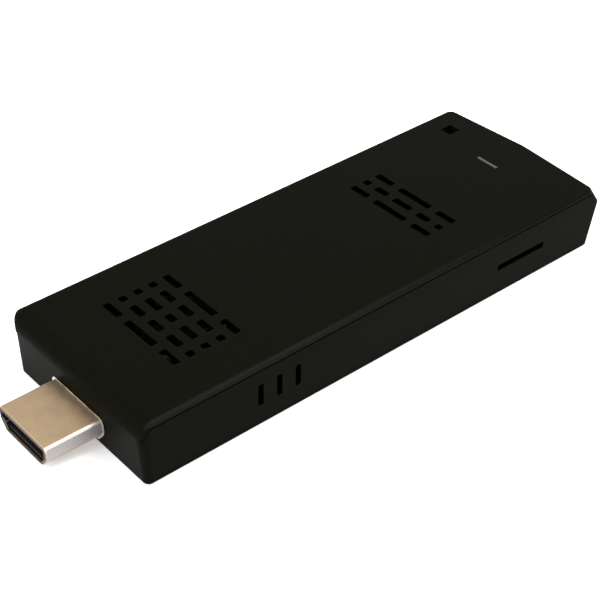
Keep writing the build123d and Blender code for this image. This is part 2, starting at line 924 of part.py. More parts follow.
def stator_levels():
    """The heights between which the stator's iron lies."""
    bottom = fan_floor + circuit_thickness + coil_wall
    top = fan_lid_bottom - 2 * rotor_gap - hub_roof - coil_wall
    return bottom, top


def stator_ring():
    """The outer radius of the stator's inner iron ring."""
    return shaft_radius + shaft_gap + bearing_wall + fit_gap / 2 + coil_wall


def fan_stator():
    """The iron core: a ring on the bearing with four poles."""
    bottom, top = stator_levels()
    inner = stator_ring() - coil_wall
    waist = pole_width * pole_waist_share / 2
    core = post(fan_x, pattern_y, bottom, top, stator_ring())
    for place in range(stator_poles):
        turn = Pos(fan_x, pattern_y, 0) * Rot(0, 0, 360 * place / stator_poles)
        core += turn * block(0, stator_radius - coil_wall, -waist, waist, bottom, top)
        shoe = block(stator_radius - coil_wall, stator_radius - fit_gap, -pole_width, pole_width, bottom, top)
        core += turn * shoe
    return core - post(fan_x, pattern_y, bottom - overrun, top + overrun, inner)


def fan_coils():
    """A winding round each pole, drawn as a plain collar that rests on the driver board."""
    bottom, top = stator_levels()
    low = fan_floor + circuit_thickness
    high = top + coil_wall
    x0 = stator_ring()
    x1 = stator_radius - coil_wall
    coils = []
    for place in range(stator_poles):
        half = pole_width * pole_waist_share / 2
        collar = block(x0 + fit_gap, x1 - fit_gap, -half - coil_wall, half + coil_wall, low, high)
        collar -= block(x0 - overrun, x1 + overrun, -half, half, bottom, top)
        coils.append(Pos(fan_x, pattern_y, 0) * Rot(0, 0, 360 * place / stator_poles) * collar)
    return coils


def fan_gasket():
    """The foam ring that seals the blower's intake to the lid."""
    inner = fan_intake_radius + fit_gap
    return pipe(fan_x, pattern_y, fan_lid_top, roof, inner + gasket_width, inner)


def fan_screws():
    """Screws through the blower's corners into the heat spreader."""
    thin = fan_screw_head * screw_slot_width_share
    screws = []
    for x, y in fan_screw_places():
        head = post(x, y, fan_lid_top, fan_lid_top + fan_screw_head_height, fan_screw_head)
        slot_z = fan_lid_top + fan_screw_head_height / 2
        head -= chip(x, y, slot_z, fan_screw_head, thin, fan_screw_head_height)
        head -= chip(x, y, slot_z, thin, fan_screw_head, fan_screw_head_height)
        screws.append(head + post(x, y, spreader_bottom + fit_gap, fan_lid_top, fan_screw_radius))
    return screws


def header_place():
    """The middle of the blower's socket on the board."""
    y = pattern_y + fan_size / 2 - header_length / 2
    return fan_x + fan_size / 2 + header_gap + header_width / 2, y


def fan_header():
    """The small socket on the board that the blower's leads plug into."""
    x, y = header_place()
    side = chip(x, y, board_top, header_width, header_length, header_height)
    low = board_top + header_height * header_floor_share
    slot_x = x + header_width * header_back_share
    slot = chip(slot_x, y, low, header_width, header_length * header_slot_share, header_height)
    return side - slot


def fan_leads():
    """Three leads from the blower's tray down to its socket."""
    x, y = header_place()
    start = fan_x + fan_size / 2
    end = x - header_width / 2
    turn = (start + end) / 2
    high = fan_floor + lead_radius
    low = board_top + header_height / 2
    leads = []
    for place in (-1, 0, 1):
        lead_y = y + place * lead_pitch
        points = ((start, lead_y, high), (turn, lead_y, high), (turn, lead_y, low), (end, lead_y, low))
        path = FilletPolyline(*points, radius=(high - low) * lead_bend_share)
        section = Plane(origin=path @ 0, z_dir=path % 0) * Circle(lead_radius)
        leads.append(sweep(section, path=path))
    return leads


def hollow_port(distance, width, height, depth, sheet, z0, corner):
    """The folded shell of a socket in the +Y side: a rounded tube, open in front."""
    x = at(distance)
    back = port_front - depth
    outer = rounded(block(x - width / 2, x + width / 2, back, port_front, z0, z0 + height), Axis.Y, corner)
    inner = block(
        x - width / 2 + sheet, x + width / 2 - sheet, back - overrun, port_front + overrun,
        z0 + sheet, z0 + height - sheet,
    )
    return outer - rounded(inner, Axis.Y, corner - sheet / 2)


def usb_shell():
    """The wide socket's shell, standing on the board on two feet."""
    corner = port_sheet * 2
    shell = hollow_port(usb_from_near, usb_width, usb_height, usb_depth, port_sheet, usb_bottom, corner)
    for side in (-1, 1):
        x = at(usb_from_near) + side * (usb_width / 2 - port_sheet)
        y = port_front - usb_depth / 2
        shell += chip(x, y, board_top, port_sheet * 2, usb_depth / 2, usb_lift + port_sheet)
    return shell


def usb_contacts():
    """Four contact strips under the wide socket's tongue, with tails at its back."""
    bottom = usb_bottom + usb_height - port_sheet - fit_gap - usb_tongue_height - port_sheet
    back = port_front - usb_depth
    strips = []
    for share in usb_contact_spread_shares:
        x = at(usb_from_near) + share * usb_tongue_width * usb_contact_spread_share
        half = usb_contact_width / 2
        low = bottom - usb_contact_thickness / 2
        high = low + usb_contact_thickness
        strip = block(x - half, x + half, back, port_front - usb_contact_setback, low, high)
        tail = block(x - half, x + half, back - usb_contact_thickness, back, board_top, high)
        strips.append(strip + tail)
    return strips


def usb_tongue(contacts):
    """The wide socket's plastic: a back block and the tongue that carries the contacts."""
    x = at(usb_from_near)
    wide = usb_width / 2 - port_sheet - fit_gap
    low = usb_bottom + port_sheet + fit_gap
    high = usb_bottom + usb_height - port_sheet - fit_gap
    back = port_front - usb_depth
    front = port_front - usb_tongue_setback
    rear = rounded(block(x - wide, x + wide, back, front - usb_tongue_reach, low, high), Axis.Y, port_sheet)
    tongue_top = high - port_sheet
    tongue = block(
        x - usb_tongue_width / 2, x + usb_tongue_width / 2, back + fit_gap, front,
        tongue_top - usb_tongue_height, tongue_top,
    )
    return rear + tongue - contacts


def power_shell():
    """The small power socket's shell on the board."""
    corner = power_sheet * 2
    return hollow_port(
        power_from_near, power_width, power_height, power_depth, power_sheet, board_top, corner,
    )


def power_contact_strips():
    """Five fine contacts on the power socket's tongue."""
    z = board_top + power_height / 2 - power_tongue_height / 2
    back = port_front - power_depth
    strips = []
    for place in range(power_contacts):
        x = at(power_from_near) + (place - (power_contacts - 1) / 2) * power_contact_pitch
        half = power_contact_width / 2
        front = back + power_tongue_reach - power_contact_setback
        strip = block(x - half, x + half, back, front, z - power_contact_thickness, z)
        tail = block(x - half, x + half, back - power_contact_thickness, back, board_top, z)
        strips.append(strip + tail)
    return strips


def power_tongue(contacts):
    """The power socket's plastic: a back block and a thin tongue."""
    x = at(power_from_near)
    wide = power_width / 2 - power_sheet - fit_gap
    back = port_front - power_depth
    low = board_top + power_sheet + fit_gap
    high = board_top + power_height - power_sheet - fit_gap
    rear = rounded(block(x - wide, x + wide, back, back + power_back_depth, low, high), Axis.Y, power_sheet)
    z = board_top + (power_height - power_tongue_height) / 2
    half = power_tongue_width / 2
    tongue = block(x - half, x + half, back, back + power_tongue_reach, z, z + power_tongue_height)
    return rear + tongue - contacts


def button_back():
    """The back of the button's rim, which rests just inside the leaning wall."""
    low = button_center_height - button_height / 2 - button_rim_drop
    return inner_at(low) - button_rest_gap - button_rim_thickness


def power_button():
    """The button's cap, with the rim that keeps it in the wall and a post for the switch."""
    x = at(button_from_near)
    half = button_width / 2
    tall = button_height / 2
    z = button_center_height
    rim_back = button_back()
    rim_front = rim_back + button_rim_thickness
    cap = block(x - half, x + half, rim_back, half_width + button_proud, z - tall, z + tall)
    cap = rounded(cap, Axis.Y, button_corner)
    face = cap.faces().sort_by(Axis.Y)[-1]
    cap = fillet(face.outer_wire().edges(), button_proud / 2)
    side = half + button_rim
    low = z - tall - button_rim_drop
    rim = block(x - side, x + side, rim_back, rim_front, low, z + tall + button_rim)
    return cap + rounded(rim, Axis.Y, button_corner)


def switch_height_middle():
    """The height of the switch's plunger: as near the button's middle as its body allows."""
    return board_top + switch_height / 2


def switch_plunger():
    """The plunger that the button pushes into the switch."""
    z = switch_height_middle()
    x = at(button_from_near)
    half = plunger_width / 2
    front = button_back()
    back = front - plunger_reach - plunger_depth
    return block(x - half, x + half, back, front, z - plunger_height / 2, z + plunger_height / 2)


def switch_body():
    """The side-push switch on the board, hollow where its plunger slides."""
    x = at(button_from_near)
    z = switch_height_middle()
    front = button_back() - plunger_reach
    wide = switch_width / 2
    body = block(x - wide, x + wide, front - switch_depth, front, board_top, board_top + switch_height)
    half = plunger_width / 2 + switch_slide_gap
    tall = plunger_height / 2 + switch_slide_gap
    depth = plunger_depth + button_travel + switch_slide_gap
    return body - block(x - half, x + half, front - depth, front + overrun, z - tall, z + tall)


def socket_span():
    """The card socket's ends along X."""
    return at(card_slot_start) - socket_side_wall / 2, at(card_slot_end) + socket_far_wall


def card_floor():
    """The height that the card slides on."""
    return card_slot_bottom + socket_floor_drop


def lane(extra):
    """The space beside the card that the slider and its spring lie in."""
    half = slider_width / 2 + extra
    top = card_slot_top + overrun
    back = socket_back - socket_rear_wall
    return block(slider_center - half, slider_center + half, socket_front + wall, back, card_floor(), top)


def card_socket_base():
    """The card socket's plastic tray: card channel, slider lane and rear wall."""
    x0, x1 = socket_span()
    base = block(x0, x1, socket_front, socket_back, board_top, card_slot_top)
    start = at(card_slot_start) + slider_gap
    end = at(card_slot_end) - slider_gap
    back = socket_back - socket_rear_wall
    top = card_slot_top + overrun
    base -= block(start, end, socket_front - overrun, back, card_floor(), top)
    base -= lane(slider_gap)
    foot_front = slider_rest - slider_foot_length * 2
    return base - block(end - slider_foot_reach / 2, slider_center, foot_front, back, card_floor(), top)


def card_socket_lid():
    """The thin metal lid over the card socket."""
    x0, x1 = socket_span()
    lid = block(x0, x1, socket_front, socket_back, card_slot_top, card_slot_top + socket_lid_thickness)
    for x, side in ((x0, -1), (x1, 1)):
        edge = x + side * socket_lid_thickness
        lid += block(x, edge, socket_front, socket_back, board_top, card_slot_top + socket_lid_thickness)
    middle = (x0 + x1) / 2
    half = socket_side_wall * 2
    y0 = socket_front + wall
    y1 = y0 + wall * 2
    window = block(middle - half, middle + half, y0, y1, card_slot_top - fit_gap, card_slot_top + overrun)
    return lid - rounded(window, Axis.Z, slot_corner)


def card_slider():
    """The slider that the card pushes back, with a foot behind the card."""
    z = card_floor() + slider_gap
    half = slider_width / 2
    top = z + slider_height
    arm = block(slider_center - half, slider_center + half, slider_rest - slider_length, slider_rest, z, top)
    foot_end = slider_center - half - slider_foot_reach
    return arm + block(foot_end, slider_center, slider_rest - slider_foot_length, slider_rest, z, top)


def card_spring():
    """The slider's return spring, an open coil along Y."""
    z = card_floor() + slider_gap + slider_height / 2
    length = spring_length - 2 * fit_gap - 2 * spring_wire
    pitch = length / spring_turns
    coil = Helix(pitch=pitch, height=length, radius=spring_radius)
    section = Plane(origin=coil @ 0, z_dir=coil % 0) * Circle(spring_wire)
    wire = sweep(section, path=coil, is_frenet=True)
    return Pos(slider_center, slider_rest + fit_gap + spring_wire, z) * Rot(-90, 0, 0) * wire


def card_contacts():
    """Contact strips on the floor of the card channel."""
    y1 = slider_rest - slider_foot_length - wall
    y0 = y1 - card_contact_length
    z = card_floor()
    half = card_contact_width / 2
    strips = []
    for place in range(card_contact_count):
        x = at(card_slot_middle) + (place - (card_contact_count - 1) / 2) * card_contact_pitch
        strips.append(block(x - half, x + half, y0, y1, z, z + card_contact_thickness))
    return strips


def wireless_shield():
    """The metal can over the radio, open below."""
    z = board_top + radio_board_thickness
    size = radio_size - 2 * shield_margin
    inner = size - 2 * shield_sheet
    x = at(card_slot_middle)
    can = chip(x, radio_y, z, size, size, shield_height)
    can = fillet(can.edges().filter_by(Axis.Z), shield_margin)
    can = fillet(can.faces().sort_by(Axis.Z)[-1].outer_wire().edges(), shield_sheet)
    return can - chip(x, radio_y, z - overrun, inner, inner, shield_height - shield_sheet + overrun)


def carrier_spans():
    """Where each antenna carrier starts and ends across the width."""
    return [(start * inner_y, end * inner_y) for start, end in carrier_span_shares]


def antenna_carriers():
    """Two plastic blocks on the case floor that hold the antennas up."""
    x0 = at(carrier_start)
    blocks = []
    for y0, y1 in carrier_spans():
        solid = block(x0, x0 + carrier_depth, y0, y1, floor_wall, floor_wall + carrier_height)
        blocks.append(rounded(solid, Axis.Z, slot_corner))
    return blocks


def antennas():
    """A folded metal strip over each carrier: a top leaf and a front leaf."""
    x0 = at(carrier_start)
    top = floor_wall + carrier_height
    gap_x0 = x0 + carrier_depth * antenna_gap_start_share
    gap_x1 = x0 + carrier_depth * antenna_gap_end_share
    strips = []
    for y0, y1 in carrier_spans():
        edge = x0 - antenna_sheet
        start = y0 + slot_corner
        end = y1 - slot_corner
        leaf = block(edge, x0 + carrier_depth, start, end, top, top + antenna_sheet)
        front = block(edge, x0, start, end, top - antenna_drop, top + antenna_sheet)
        gap_end = y0 + (y1 - y0) * antenna_gap_share
        gap = block(gap_x0, gap_x1, y0, gap_end, top - fit_gap, top + overrun)
        strips.append(leaf + front - gap)
    return strips


def coax_plug_places_y():
    """The y of each antenna plug, beside the radio."""
    middle = radio_y - coax_plug_offset
    return middle + coax_plug_pitch / 2, middle - coax_plug_pitch / 2


def antenna_plugs():
    """The two tiny round connectors beside the radio."""
    x = at(coax_from_near)
    plugs = []
    for y in coax_plug_places_y():
        plug = post(x, y, board_top, board_top + coax_plug_height, coax_plug_radius)
        plugs.append(chamfer(plug.edges().group_by(Axis.Z)[-1], coax_plug_edge))
    return plugs


def antenna_leads():
    """A thin lead from each connector to the top of its antenna, in straight runs and tangent arcs."""
    low = board_top + coax_plug_height / 2
    high = floor_wall + carrier_height + antenna_sheet + coax_radius
    start = at(coax_from_near) + coax_plug_radius
    lane = at(board_end - coax_lane_setback)
    end = at(carrier_start) + carrier_depth / 2
    leads = []
    for y, span in zip(coax_plug_places_y(), reversed(carrier_spans())):
        far_y = sum(span) / 2
        points = ((start, y, low), (lane, y, low), (lane, far_y, high), (end, far_y, high))
        path = FilletPolyline(*points, radius=coax_bend)
        section = Plane(origin=path @ 0, z_dir=path % 0) * Circle(coax_radius)
        leads.append(sweep(section, path=path))
    return leads


def dust_mesh():
    """The fine black mesh glued under the far grille."""
    half = slot_width / 2 + mesh_margin
    x0 = at(far_grille_start) - half
    x1 = at(far_grille_start + 2 * column_pitch) + half
    tall = grille_height / 2 + mesh_margin
    sheet = block(x0, x1, pattern_y - tall, pattern_y + tall, roof - mesh_thickness, roof)
    return rounded(sheet, Axis.Z, mesh_margin)


def light_pipe():
    """The clear bar in the lid, with a flange under the roof and a stem down to the lamp."""
    x = at(light_from_near)
    half = light_width / 2 - fit_gap / 2
    long = light_length / 2 - fit_gap / 2
    bar = block(x - half, x + half, pattern_y - long, pattern_y + long, roof - fit_gap, body_height)
    wide = half + light_flange_margin
    tall = long + light_flange_margin
    low = roof - light_flange_thickness
    flange = block(x - wide, x + wide, pattern_y - tall, pattern_y + tall, low, roof)
    bottom = board_top + lamp_height + light_gap
    stem_half = light_stem_length / 2
    stem = block(x - half, x + half, pattern_y - stem_half, pattern_y + stem_half, bottom, roof - fit_gap)
    return bar + flange + stem


def small_rows(row_shares, pitch, length, width, height):
    """Rows of identical small parts under the board."""
    parts = []
    for x_share, y_share, count in row_shares:
        x, y = share_place(x_share, y_share)
        for place in range(count):
            parts.append(chip(x + place * pitch, y, board_bottom - height, length, width, height))
    return group(parts)


def board_chip(shares, length, width, height):
    """A chip on top of the board, at a place given as shares of the board."""
    x, y = share_place(*shares)
    return chip(x, y, board_top, length, width, height)


def soft_chips(places, length, width, height):
    """Parts with rounded corners on top of the board, at places given as shares of the board."""
    return group(rounded(board_chip(shares, length, width, height), Axis.Z, slot_corner) for shares in places)


def radio_part(z, size, height):
    """A square part of the radio, centred over the card socket's middle."""
    return chip(at(card_slot_middle), radio_y, z, size, size, height)


def processor():
    """The processor under the heat spreader."""
    x = at(processor_from_near)
    return chip(x, processor_y, board_top, processor_size, processor_size, processor_height)


def storage_chip():
    """The storage chip beside the memory."""
    return chip(at(storage_from_near), storage_y, board_top, storage_length, storage_width, storage_height)


def spreader_bushes():
    """The bushes that hold the heat spreader at its height over the board."""
    hole = screw_radius + screw_hole_gap
    places = spreader_screw_places()
    return group(pipe(x, y, board_top, spreader_bottom, bush_radius, hole) for x, y in places)


def build_nodes():
    """Every piece under its node's name."""
    shell = case_form(0, 0, body_height) - case_form(wall, floor_wall, roof)
    above = above_seam(0)
    groove = seam_groove()
    contacts = plug_contacts()
    usb_strips = usb_contacts()
    power_strips = power_contact_strips()
    radio_top = board_top + radio_board_thickness
    nodes = {
        "top_cover": top_cover(shell, above, groove),
        "bottom_case": bottom_case(shell, above, groove),
        "power_button": power_button(),
        "dust_mesh": dust_mesh(),
        "light_pipe": light_pipe(),
        "plug_shell": plug_shell(),
        "plug_collar": plug_collar(),
        "plug_core": plug_core(contacts),
        "plug_contacts": group(contacts),
        "usb_shell": usb_shell(),
        "usb_tongue": usb_tongue(usb_strips),
        "usb_contacts": group(usb_strips),
        "power_port_shell": power_shell(),
        "power_port_tongue": power_tongue(power_strips),
        "power_port_contacts": group(power_strips),
        "card_socket_base": card_socket_base(),
        "card_socket_lid": card_socket_lid(),
        "card_contacts": group(card_contacts()),
        "card_slider": card_slider(),
        "card_spring": card_spring(),
        "main_board": main_board(),
        "processor": processor(),
        "thermal_pads": group(thermal_pads()),
        "heat_spreader": heat_spreader(),
        "spreader_bushes": spreader_bushes(),
        "spreader_screws": group(screw(x, y, spreader_top, screw_tip) for x, y in spreader_screw_places()),
        "board_screws": group(screw(x, y, board_top, screw_tip) for x, y in board_screw_places()),
        "memory_chips": group(memory_chips()),
        "storage_chip": storage_chip(),
        "power_chip": board_chip(power_chip_shares, power_chip_size, power_chip_size, power_chip_height),
        "firmware_chip": board_chip(
            firmware_chip_shares, firmware_chip_length, firmware_chip_width, firmware_chip_height,
        ),
        "inductors": soft_chips(inductor_shares, inductor_size, inductor_size, inductor_height),
        "crystals": soft_chips(crystal_shares, crystal_length, crystal_width, crystal_height),
        "capacitors": small_rows(
            capacitor_row_shares, capacitor_pitch, capacitor_length, capacitor_width, capacitor_height,
        ),
        "resistors": small_rows(
            resistor_row_shares, resistor_pitch, resistor_length, resistor_width, resistor_height,
        ),
        "status_lamp": chip(at(light_from_near), pattern_y, board_top, lamp_width, lamp_length, lamp_height),
        "switch_body": switch_body(),
        "switch_plunger": switch_plunger(),
        "wireless_board": radio_part(board_top, radio_size, radio_board_thickness),
        "wireless_chip": radio_part(radio_top, radio_chip_size, radio_chip_height),
        "wireless_shield": wireless_shield(),
        "antenna_carriers": group(antenna_carriers()),
        "antennas": group(antennas()),
        "antenna_plugs": group(antenna_plugs()),
        "antenna_leads": group(antenna_leads()),
        "fan_housing": fan_housing(),
        "fan_lid": fan_lid(),
        "fan_impeller": fan_impeller(),
        "fan_magnet": fan_magnet(),
        "fan_shaft": fan_shaft(),
        "fan_bearing": fan_bearing(),
        "fan_circuit": fan_circuit(),
        "fan_stator": fan_stator(),
        "fan_coils": group(fan_coils()),
        "fan_gasket": fan_gasket(),
        "fan_screws": group(fan_screws()),
        "fan_header": fan_header(),
        "fan_leads": group(fan_leads()),
    }
    return nodes


def main():
    """Builds every node and writes one file for each."""
    os.makedirs("parts", exist_ok=True)
    for name, shape in build_nodes().items():
        export_step(shape, f"parts/{name}.step")


main()
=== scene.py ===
import json
from functools import partial
from math import radians

import bpy
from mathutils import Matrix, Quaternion, Vector


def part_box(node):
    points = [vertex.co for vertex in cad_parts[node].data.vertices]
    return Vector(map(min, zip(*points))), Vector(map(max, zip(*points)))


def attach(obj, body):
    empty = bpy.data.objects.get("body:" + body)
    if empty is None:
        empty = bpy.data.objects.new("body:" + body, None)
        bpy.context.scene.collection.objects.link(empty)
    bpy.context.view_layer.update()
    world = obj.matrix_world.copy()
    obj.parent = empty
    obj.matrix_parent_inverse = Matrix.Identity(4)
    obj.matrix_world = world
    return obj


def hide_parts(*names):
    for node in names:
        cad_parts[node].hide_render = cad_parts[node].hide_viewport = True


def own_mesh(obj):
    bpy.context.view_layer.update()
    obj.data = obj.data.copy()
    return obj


# The looks of a stick computer. Metres, in the frame's own axes: +Z up, the plug points along -X.

mm = 0.001

# Camera, at the photograph's viewing angle
camera_eye = Vector((-0.14150, -0.16754, 0.16793))
camera_aim = Vector((-0.00806, -0.00337, 0.00625))
camera_roll = radians(-0.79)
camera_lens = 92.8
camera_sensor = 36.0
camera_near = 5 * mm

# Lamps: where each stands, its size and its power in watts
lamp_aim = Vector((0, 0, 0.006))
key_place = Vector((0.3, -0.35, 0.95))
key_size = 0.5
key_power = 10.0
key_color = (1.0, 0.99, 0.98)
fill_place = Vector((-0.9, 0.1, 0.7))
fill_size = 0.9
fill_power = 9.0
fill_color = (0.96, 0.98, 1.0)
sky_color = (0.97, 0.985, 1.0)
sky_strength = 0.62

# Floor, and how much it glows towards the camera
floor_size = 6.0
floor_color = (0.93, 0.93, 0.93)
floor_lift = 0.4

# The case's plastic, and the reach and colour of the painted shade in its hollows
case_color = (0.0038, 0.0040, 0.0023)
case_shade_reach = 1.6 * mm
case_painted_shade = 0.0002

# The painted highlight (sheen) along the case's upper side edges. It starts sheen_width and
# sheen_height in from the edge, is full sheen_full from it, and fades along X from one share at
# sheen_start to the other at sheen_end.
painted_case_sheen = (0.0105, 0.0115, 0.0095)
sheen_width = 0.9 * mm
sheen_height = 1.0 * mm
sheen_full = 0.4 * mm
sheen_start, sheen_end = -0.02, 0.03
sheen_share_start, sheen_share_end = 0.9, 0.15

# The plug: its plating, the painted highlight on its upper bends, the greyer painted reflection on its
# sides, the reach and colour of the painted shade in its hollows, and the darker band at its tip
plug_color = (0.45, 0.332, 0.208)
painted_bend_highlight = (0.74, 0.70, 0.65)
painted_side_reflection = (0.36, 0.335, 0.33)
plug_shade_reach = 2.2 * mm
plug_painted_shade = 0.004
tip_band_width = 0.16 * mm
tip_band_color = (0.10, 0.08, 0.085)

# Sizes of the marks on the materials
flow_marks = 9 * mm
handling_marks = 2.2 * mm
mask_grain = 0.3 * mm
frost_grain = 0.12 * mm
frost_depth = 0.4 * mm

# Samples for the painted shade in hollows, and the scales at which cells, bands and threads fit their
# pitch
crevice_shade_samples = 8
track_scale = 0.5
band_scale = 0.3
thread_scale = 0.314

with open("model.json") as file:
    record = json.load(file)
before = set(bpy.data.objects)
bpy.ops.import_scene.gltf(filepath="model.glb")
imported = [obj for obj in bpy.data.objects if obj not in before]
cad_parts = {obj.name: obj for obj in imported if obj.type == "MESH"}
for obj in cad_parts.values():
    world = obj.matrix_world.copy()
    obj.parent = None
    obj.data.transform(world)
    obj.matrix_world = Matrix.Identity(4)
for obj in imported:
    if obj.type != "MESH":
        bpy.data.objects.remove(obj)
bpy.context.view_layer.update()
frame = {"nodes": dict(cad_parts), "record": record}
nodes = frame["nodes"]


def shader_of(material):
    """The material's node tree and its shader."""
    tree = material.node_tree
    return tree, tree.nodes["Principled BSDF"]


def start_material(name):
    """A new material with its shader, and the place on the object that its textures follow."""
    material = bpy.data.materials.new(name)
    material.use_nodes = True
    tree, shader = shader_of(material)
    place = tree.nodes.new("ShaderNodeTexCoord").outputs["Object"]
    return material, tree, shader, place


def at_pitch(tree, place, pitch, stretch=(1, 1, 1)):
    """The place in units of the pitch, drawn out along the axes with a stretch above 1."""
    mapping = tree.nodes.new("ShaderNodeMapping")
    mapping.inputs["Scale"].default_value = [1 / (pitch * s) for s in stretch]
    tree.links.new(place, mapping.inputs["Vector"])
    return mapping.outputs["Vector"]


def noise(tree, place, size, detail=2.0, stretch=(1, 1, 1)):
    """Noise with features about as large as size, longer along the axes with a stretch above 1."""
    texture = tree.nodes.new("ShaderNodeTexNoise")
    texture.inputs["Scale"].default_value = 1.0
    texture.inputs["Detail"].default_value = detail
    tree.links.new(at_pitch(tree, place, size, stretch), texture.inputs["Vector"])
    return texture.outputs["Fac"]


def between(tree, factor, low, high, start=0.3, end=0.7):
    """A number that goes from low to high as factor goes from start to end."""
    node = tree.nodes.new("ShaderNodeMapRange")
    node.inputs["From Min"].default_value = start
    node.inputs["From Max"].default_value = end
    node.inputs["To Min"].default_value = low
    node.inputs["To Max"].default_value = high
    tree.links.new(factor, node.inputs["Value"])
    return node.outputs["Result"]


def two_colors(tree, factor, low, high, start=0.3, end=0.7):
    """A colour that goes from low to high as factor goes from start to end."""
    node = tree.nodes.new("ShaderNodeMix")
    node.data_type = "RGBA"
    node.inputs["A"].default_value = (*low, 1)
    node.inputs["B"].default_value = (*high, 1)
    tree.links.new(between(tree, factor, 0, 1, start, end), node.inputs["Factor"])
    return node.outputs["Result"]


def add_bump(tree, shader, height, depth):
    """Raises the surface by up to depth where height is 1, on top of any bump it already has."""
    node = tree.nodes.new("ShaderNodeBump")
    node.inputs["Distance"].default_value = depth
    node.inputs["Strength"].default_value = 1.0
    tree.links.new(height, node.inputs["Height"])
    if shader.inputs["Normal"].is_linked:
        tree.links.new(shader.inputs["Normal"].links[0].from_socket, node.inputs["Normal"])
    tree.links.new(node.outputs["Normal"], shader.inputs["Normal"])


def mix_color(tree, shader, factor, color):
    """Lays another colour over the shader's own where factor is 1."""
    node = tree.nodes.new("ShaderNodeMix")
    node.data_type = "RGBA"
    tree.links.new(shader.inputs["Base Color"].links[0].from_socket, node.inputs["A"])
    node.inputs["B"].default_value = (*color, 1)
    tree.links.new(factor, node.inputs["Factor"])
    tree.links.new(node.outputs["Result"], shader.inputs["Base Color"])


def paint_crevice_shade(tree, shader, reach, dark, closed=0.62, clear=0.97):
    """Paints shade into the colour: darker in slots and hollows narrower than about twice the reach.

    A spot is dark where its open share is below closed, and keeps its colour above clear.
    """
    open_sky = tree.nodes.new("ShaderNodeAmbientOcclusion")
    open_sky.samples = crevice_shade_samples
    open_sky.inputs["Distance"].default_value = reach
    shaded = between(tree, open_sky.outputs["AO"], 1, 0, closed, clear)
    mix_color(tree, shader, shaded, (dark, dark, dark))


def parts_of(tree, kind="Object"):
    """The X, Y and Z of the place on the object, or of its surface's direction."""
    split = tree.nodes.new("ShaderNodeSeparateXYZ")
    tree.links.new(tree.nodes.new("ShaderNodeTexCoord").outputs[kind], split.inputs["Vector"])
    return split.outputs


def combine(tree, operation, a, b=None):
    """One sum on one or two numbers."""
    node = tree.nodes.new("ShaderNodeMath")
    node.operation = operation
    tree.links.new(a, node.inputs[0])
    if b is not None:
        tree.links.new(b, node.inputs[1])
    return node.outputs["Value"]


def weighted(tree, value, weight, rest):
    """The value times its weight, plus the rest."""
    node = tree.nodes.new("ShaderNodeMath")
    node.operation = "MULTIPLY_ADD"
    node.inputs[1].default_value = weight
    tree.links.new(value, node.inputs[0])
    tree.links.new(rest, node.inputs[2])
    return node.outputs["Value"]


def shade(color, factor):
    """The colour made lighter or darker."""
    return tuple(c * factor for c in color)


def moulded(name, color, roughness, grain=0.18 * mm, depth=0.006 * mm, specular=0.3):
    """Moulded plastic with a fine spark-eroded grain and faint flow marks."""
    material, tree, shader, place = start_material(name)
    fine = noise(tree, place, grain, 3.0)
    broad = noise(tree, place, flow_marks, 3.0)
    paint = two_colors(tree, fine, shade(color, 0.8), shade(color, 1.25))
    tree.links.new(paint, shader.inputs["Base Color"])
    mixed = weighted(tree, fine, 0.5, between(tree, broad, 0.17, 0.33))
    rough = between(tree, mixed, roughness - 0.06, roughness + 0.08, 0.2, 0.8)
    tree.links.new(rough, shader.inputs["Roughness"])
    shader.inputs["Specular IOR Level"].default_value = specular
    add_bump(tree, shader, fine, depth)
    add_bump(tree, shader, broad, depth * 0.7)
    return material


def sheet_metal(
    name, color, roughness, along=(12, 1, 1), scratch=0.05 * mm, depth=0.002 * mm, wear=0.45
):
    """Rolled sheet: fine lines along one axis, handling marks and slight colour drift."""
    material, tree, shader, place = start_material(name)
    lines = noise(tree, place, scratch, stretch=along)
    marks = noise(tree, place, handling_marks, 4.0)
    paint = two_colors(tree, marks, shade(color, 0.9), color)
    tree.links.new(paint, shader.inputs["Base Color"])
    shader.inputs["Metallic"].default_value = 1.0
    mixed = weighted(tree, lines, 0.55, between(tree, marks, 0.2 - wear / 2, 0.2 + wear / 2))
    rough = between(tree, mixed, roughness * 0.75, roughness * 1.35, 0.25, 0.75)
    tree.links.new(rough, shader.inputs["Roughness"])
    add_bump(tree, shader, lines, depth)
    return material


def cast_metal(name, color, roughness, grain=0.1 * mm, depth=0.004 * mm):
    """Metal with an even grain, such as sintered bronze, ferrite or plating."""
    material, tree, shader, place = start_material(name)
    fine = noise(tree, place, grain, 4.0)
    paint = two_colors(tree, fine, shade(color, 0.78), shade(color, 1.08))
    tree.links.new(paint, shader.inputs["Base Color"])
    shader.inputs["Metallic"].default_value = 1.0
    rough = between(tree, fine, roughness - 0.06, roughness + 0.1)
    tree.links.new(rough, shader.inputs["Roughness"])
    add_bump(tree, shader, fine, depth)
    return material


def circuit_board(name, color, trace, pitch=0.8 * mm):
    """Solder mask over copper: tracks and pads show as a lighter pattern, slightly raised."""
    material, tree, shader, place = start_material(name)
    cells = tree.nodes.new("ShaderNodeTexVoronoi")
    cells.distance = "MANHATTAN"
    cells.feature = "DISTANCE_TO_EDGE"
    cells.inputs["Scale"].default_value = track_scale
    tree.links.new(at_pitch(tree, place, pitch), cells.inputs["Vector"])
    tracks = between(tree, cells.outputs["Distance"], 1.0, 0.0, 0.03, 0.07)
    tree.links.new(two_colors(tree, tracks, color, trace, 0.0, 1.0), shader.inputs["Base Color"])
    fine = noise(tree, place, mask_grain, 3.0)
    tree.links.new(between(tree, fine, 0.22, 0.36), shader.inputs["Roughness"])
    add_bump(tree, shader, tracks, 0.02 * mm)
    return material


